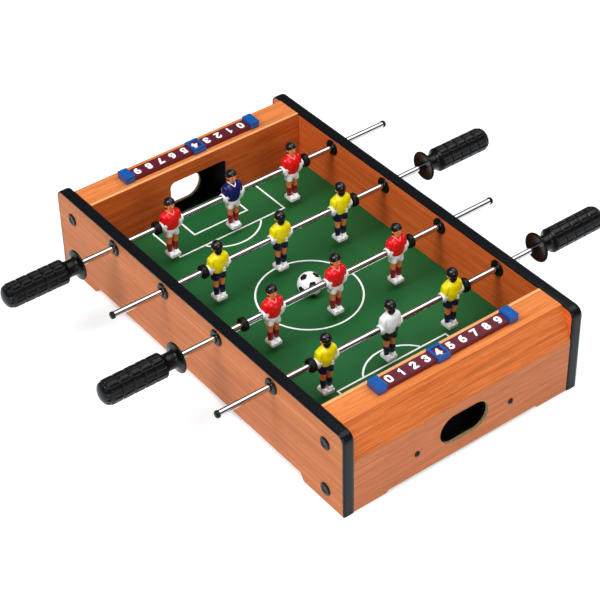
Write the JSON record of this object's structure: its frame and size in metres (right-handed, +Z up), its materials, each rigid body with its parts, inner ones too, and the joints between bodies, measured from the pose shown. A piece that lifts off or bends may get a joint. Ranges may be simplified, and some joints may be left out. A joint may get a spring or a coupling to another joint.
{
  "type": "tabletop foosball table",
  "caption": "Tabletop foosball game: low wooden cabinet with goals, push-pull spinning rods carrying toy footballers, stop rings, grips, sliding score counters and a loose ball.",
  "frame": {"origin": "middle of the cabinet at the level of its feet", "axes": "+X along the rods towards the right side panel, +Y along the pitch towards the far end, +Z up"},
  "size_m": [0.584, 0.508, 0.124],
  "materials": {
    "side_wood": "satin printed wood-look laminate",
    "end_wood": "satin printed wood-look laminate",
    "ledge_wood": "satin printed wood-look laminate",
    "wall_wood": "satin printed wood-look laminate",
    "edge_band": "glossy black edging",
    "pitch_green": "green printed board with white lines",
    "black_plastic": "semi-gloss black moulding",
    "pocket_plastic": "matt black moulding",
    "chrome": "bright chrome plating",
    "rubber": "matt black rubber",
    "red_plastic": "painted, semi-gloss",
    "blue_plastic": "painted, semi-gloss",
    "yellow_plastic": "painted, semi-gloss",
    "white_plastic": "painted, semi-gloss",
    "score_maroon": "satin",
    "score_blue": "semi-gloss"
  },
  "bodies": {
    "table": {"left_side_panel": "side_wood", "left_edge_band": "edge_band", "right_side_panel": "side_wood", "right_edge_band": "edge_band", "playfield": "pitch_green", "near_end_board": "end_wood", "near_slant_board": "end_wood", "near_top_ledge": "ledge_wood", "near_goal_wall": "wall_wood", "near_goal_pocket": "pocket_plastic", "near_score_bar": "score_maroon", "near_score_cap_left": "score_blue", "near_score_cap_right": "score_blue", "far_end_board": "end_wood", "far_slant_board": "end_wood", "far_top_ledge": "ledge_wood", "far_goal_wall": "wall_wood", "far_goal_pocket": "pocket_plastic", "far_score_bar": "score_maroon", "far_score_cap_left": "score_blue", "far_score_cap_right": "score_blue", "rod_1_bushing_left": "black_plastic", "rod_1_bushing_right": "black_plastic", "rod_2_bushing_left": "black_plastic", "rod_2_bushing_right": "black_plastic", "rod_3_bushing_left": "black_plastic", "rod_3_bushing_right": "black_plastic", "rod_4_bushing_left": "black_plastic", "rod_4_bushing_right": "black_plastic"},
    "near_marker": {"near_score_marker": "score_blue"},
    "far_marker": {"far_score_marker": "score_blue"},
    "loose_ball": {"ball": "white_plastic"},
    "rod_1_tube": {"rod_1": "chrome"},
    "rod_1_men": {"rod_1_man_left": "red_plastic", "rod_1_man_goalkeeper": "blue_plastic", "rod_1_man_right": "red_plastic", "rod_1_stop_left": "rubber", "rod_1_stop_right": "rubber", "rod_1_handle": "black_plastic"},
    "rod_2_tube": {"rod_2": "chrome"},
    "rod_2_men": {"rod_2_man_left": "yellow_plastic", "rod_2_man_middle": "yellow_plastic", "rod_2_man_right": "yellow_plastic", "rod_2_stop_left": "rubber", "rod_2_stop_right": "rubber", "rod_2_handle": "black_plastic"},
    "rod_3_tube": {"rod_3": "chrome"},
    "rod_3_men": {"rod_3_man_left": "red_plastic", "rod_3_man_middle": "red_plastic", "rod_3_man_right": "red_plastic", "rod_3_stop_left": "rubber", "rod_3_stop_right": "rubber", "rod_3_handle": "black_plastic"},
    "rod_4_tube": {"rod_4": "chrome"},
    "rod_4_men": {"rod_4_man_left": "yellow_plastic", "rod_4_man_goalkeeper": "white_plastic", "rod_4_man_right": "yellow_plastic", "rod_4_stop_left": "rubber", "rod_4_stop_right": "rubber", "rod_4_handle": "black_plastic"}
  },
  "joints": [
    {"name": "rod_1_push_pull", "type": "slide", "parent": "table", "child": "rod_1_tube", "axis": [1, 0, 0], "range_m": [-0.0365, 0.0343]},
    {"name": "rod_1_spin", "type": "hinge", "parent": "rod_1_tube", "child": "rod_1_men", "pos_m": [0.0011, 0.14, 0.0925], "axis": [1, 0, 0], "continuous": true},
    {"name": "rod_2_push_pull", "type": "slide", "parent": "table", "child": "rod_2_tube", "axis": [1, 0, 0], "range_m": [-0.033, 0.0378]},
    {"name": "rod_2_spin", "type": "hinge", "parent": "rod_2_tube", "child": "rod_2_men", "pos_m": [-0.0024, 0.0474, 0.0925], "axis": [1, 0, 0], "continuous": true},
    {"name": "rod_3_push_pull", "type": "slide", "parent": "table", "child": "rod_3_tube", "axis": [1, 0, 0], "range_m": [-0.0153, 0.0368]},
    {"name": "rod_3_spin", "type": "hinge", "parent": "rod_3_tube", "child": "rod_3_men", "pos_m": [-0.0014, -0.0474, 0.0925], "axis": [1, 0, 0], "continuous": true},
    {"name": "rod_4_push_pull", "type": "slide", "parent": "table", "child": "rod_4_tube", "axis": [1, 0, 0], "range_m": [-0.0309, 0.0399]},
    {"name": "rod_4_spin", "type": "hinge", "parent": "rod_4_tube", "child": "rod_4_men", "pos_m": [-0.0045, -0.14, 0.0925], "axis": [1, 0, 0], "continuous": true},
    {"name": "near_score", "type": "slide", "parent": "table", "child": "near_marker", "axis": [1, 0, 0], "range_m": [-0.0626, 0.0783]},
    {"name": "far_score", "type": "slide", "parent": "table", "child": "far_marker", "axis": [-1, 0, 0], "range_m": [-0.0626, 0.0783]},
    {"name": "ball_lift", "type": "slide", "parent": "table", "child": "loose_ball", "axis": [0, 0, 1], "range_m": [0, 0.09]}
  ]
}
